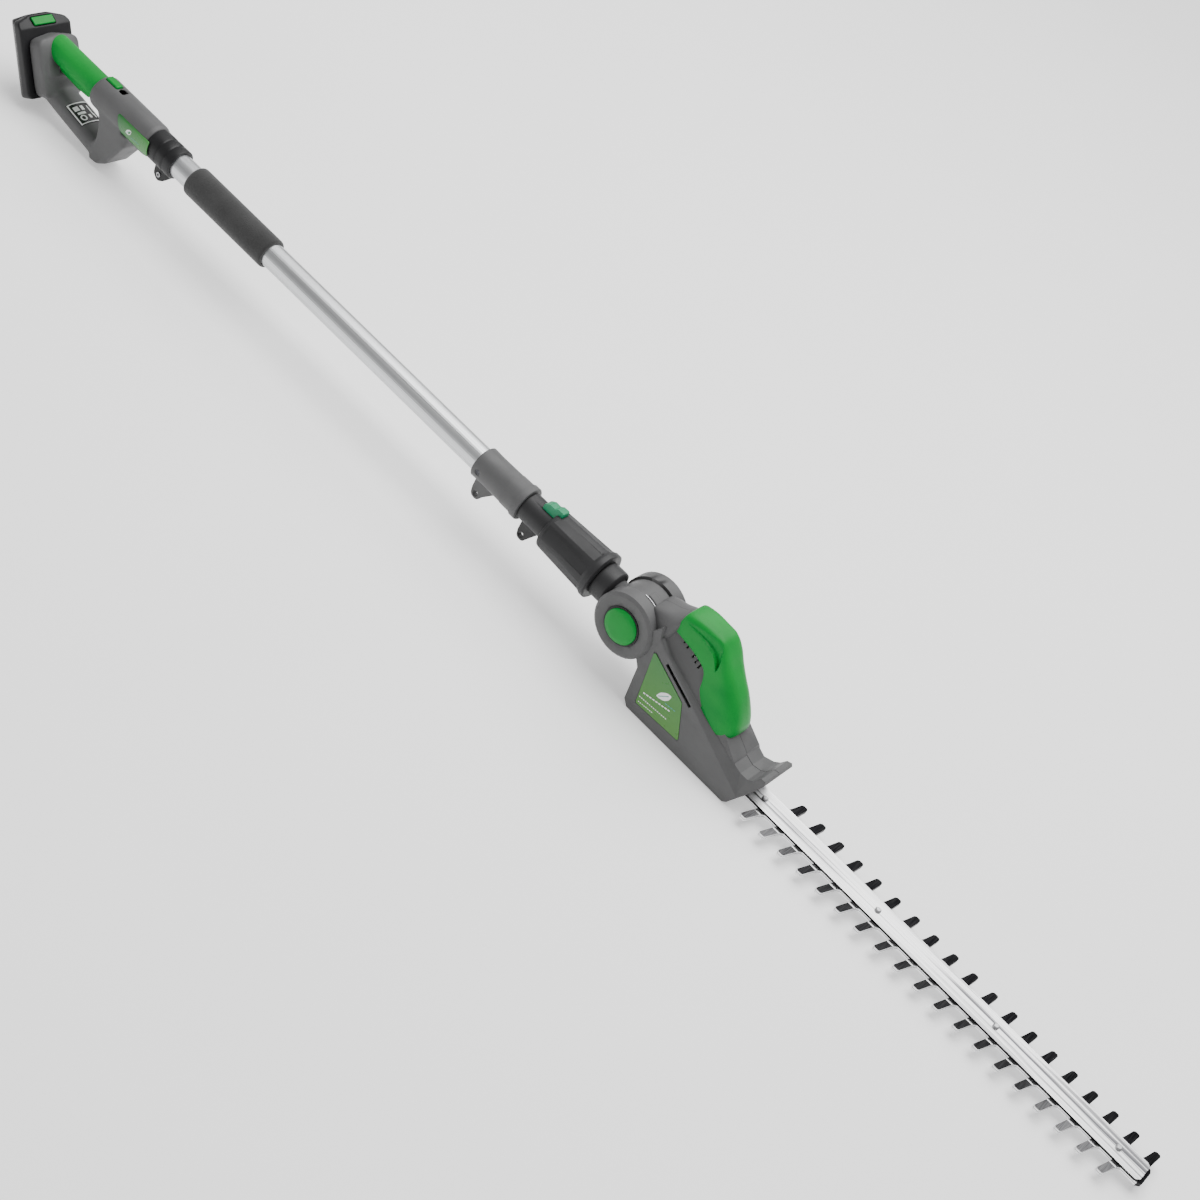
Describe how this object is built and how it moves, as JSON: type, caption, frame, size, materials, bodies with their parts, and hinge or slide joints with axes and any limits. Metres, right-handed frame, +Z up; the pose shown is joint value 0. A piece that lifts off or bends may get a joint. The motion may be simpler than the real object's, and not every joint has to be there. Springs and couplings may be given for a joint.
{
  "type": "pole hedge trimmer",
  "caption": "Cordless pole hedge trimmer: D-shaped handle, aluminium pole, pull-off attachment, tilting head and a straight double-sided blade.",
  "frame": {"origin": "middle of the tool's box in plan, on the plane that its lowest face rests on", "axes": "+X along the pole towards the blade tip, +Y to the user's left, +Z up; the blade lies flat and level"},
  "size_m": [1.7943, 0.0792, 0.1429],
  "materials": {
    "grey_housing": "fine sparked texture, satin",
    "green_soft_grip": "soft-touch over-mould, matt",
    "green_parts": "satin moulding",
    "green_gloss": "semi-gloss moulding",
    "label_film": "printed film, shaded green",
    "sticker_film": "printed film, black with a white border",
    "black_housing": "fine texture, satin",
    "foam": "closed-cell foam, matt",
    "tube": "satin anodised",
    "pin_steel": "turned",
    "spring_steel": "drawn wire",
    "motor_steel": "plated sheet",
    "gear_steel": "hobbed and oiled",
    "cast_alloy": "as cast",
    "blade_steel": "ground, dark",
    "bar_steel": "bright plated",
    "cell_can": "film-wrapped cans",
    "circuit_board": "lacquered board",
    "cable_sheath": "moulded sheath"
  },
  "bodies": {
    "root": {"handle_shell_left": "grey_housing", "handle_shell_right": "grey_housing", "handle_side_label": "label_film", "rating_sticker": "sticker_film", "soft_grip": "green_soft_grip", "trigger_pin": "pin_steel", "trigger_spring": "spring_steel", "trigger_switch": "black_housing", "lock_off_spring": "spring_steel", "control_board": "circuit_board", "battery_terminals": "black_housing", "rear_collar": "black_housing", "strap_eyelet": "pin_steel", "pole_tube": "tube", "foam_grip": "foam", "pole_cable": "cable_sheath", "front_collar": "grey_housing", "collar_screw": "pin_steel"},
    "battery": {"battery_front_shell": "black_housing", "battery_rear_shell": "black_housing", "battery_cells": "cell_can", "battery_button_spring": "spring_steel"},
    "battery_button": {"battery_button": "green_parts"},
    "trigger": {"trigger": "green_parts"},
    "lock_off_button": {"lock_off_button": "green_parts"},
    "attachment": {"coupling_plug": "black_housing", "attachment_barrel": "black_housing", "neck": "black_housing", "knuckle": "grey_housing", "latch_spring": "spring_steel"},
    "latch_button": {"latch_button": "green_parts"},
    "head": {"head_shell_right": "grey_housing", "head_shell_left": "grey_housing", "head_side_label": "label_film", "top_cover": "green_gloss", "pivot_pin": "pin_steel", "pivot_spring": "spring_steel", "pivot_cap": "green_gloss", "pivot_button_ring": "black_housing", "motor_can": "motor_steel", "gear_bearing": "pin_steel", "gearbox_plate": "cast_alloy", "motor_bracket": "cast_alloy", "guide_bar": "bar_steel", "bar_screw_1": "pin_steel", "bar_screw_2": "pin_steel", "blade_bolt_1": "pin_steel", "blade_bolt_2": "pin_steel", "blade_bolt_3": "pin_steel", "blade_bolt_4": "pin_steel"},
    "pivot_button": {"pivot_button": "green_gloss"},
    "drive_gear": {"drive_gear": "gear_steel"},
    "motor_rotor": {"motor_rotor": "motor_steel"},
    "upper_blade": {"upper_blade": "blade_steel"},
    "lower_blade": {"lower_blade": "blade_steel"}
  },
  "joints": [
    {"name": "battery_slide", "type": "slide", "parent": "root", "child": "battery", "axis": [-0.515, 0, 0.8572], "range_m": [0, 0.09]},
    {"name": "battery_button_press", "type": "slide", "parent": "battery", "child": "battery_button", "axis": [-0.3629, 0, -0.9318], "range_m": [0, 0.002], "stiffness_N_per_m": 900, "springref_m": -0.002, "deforming": ["battery_button_spring"]},
    {"name": "trigger_pull", "type": "hinge", "parent": "root", "child": "trigger", "pos_m": [-0.76585, 0, 0.0755], "axis": [0, 1, 0], "range_deg": [0, 6], "stiffness_Nm_per_rad": 3, "springref_deg": -4.58, "deforming": ["trigger_spring"]},
    {"name": "lock_off_press", "type": "slide", "parent": "root", "child": "lock_off_button", "axis": [0, 0, -1], "range_m": [0, 0.0025], "stiffness_N_per_m": 900, "springref_m": -0.002, "deforming": ["lock_off_spring"]},
    {"name": "attachment_pull", "type": "slide", "parent": "root", "child": "attachment", "axis": [1, 0, 0], "range_m": [0, 0.06]},
    {"name": "latch_press", "type": "slide", "parent": "attachment", "child": "latch_button", "axis": [0, 0, -1], "range_m": [0, 0.0025], "stiffness_N_per_m": 900, "springref_m": -0.002, "deforming": ["latch_spring"]},
    {"name": "head_tilt", "type": "hinge", "parent": "attachment", "child": "head", "pos_m": [0.15115, 0, 0.08], "axis": [0, 1, 0], "range_deg": [-45, 90]},
    {"name": "pivot_button_press", "type": "slide", "parent": "head", "child": "pivot_button", "axis": [0, 1, 0], "range_m": [0, 0.004], "stiffness_N_per_m": 1200, "springref_m": -0.003, "deforming": ["pivot_spring"]},
    {"name": "gear_spin", "type": "hinge", "parent": "head", "child": "drive_gear", "pos_m": [0.26715, 0, 0.03], "axis": [0, 0, 1], "continuous": true},
    {"name": "motor_spin", "type": "hinge", "parent": "head", "child": "motor_rotor", "pos_m": [0.23715, 0, 0.03], "axis": [0, 0, 1], "continuous": true},
    {"name": "upper_blade_stroke", "type": "slide", "parent": "head", "child": "upper_blade", "axis": [1, 0, 0], "range_m": [-0.00675, 0.00675]},
    {"name": "lower_blade_stroke", "type": "slide", "parent": "head", "child": "lower_blade", "axis": [1, 0, 0], "range_m": [-0.00675, 0.00675]}
  ],
  "couplings": [
    {"joint": "motor_spin", "follows": "gear_spin", "ratio": -3},
    {"joint": "lower_blade_stroke", "follows": "upper_blade_stroke", "ratio": -1}
  ]
}
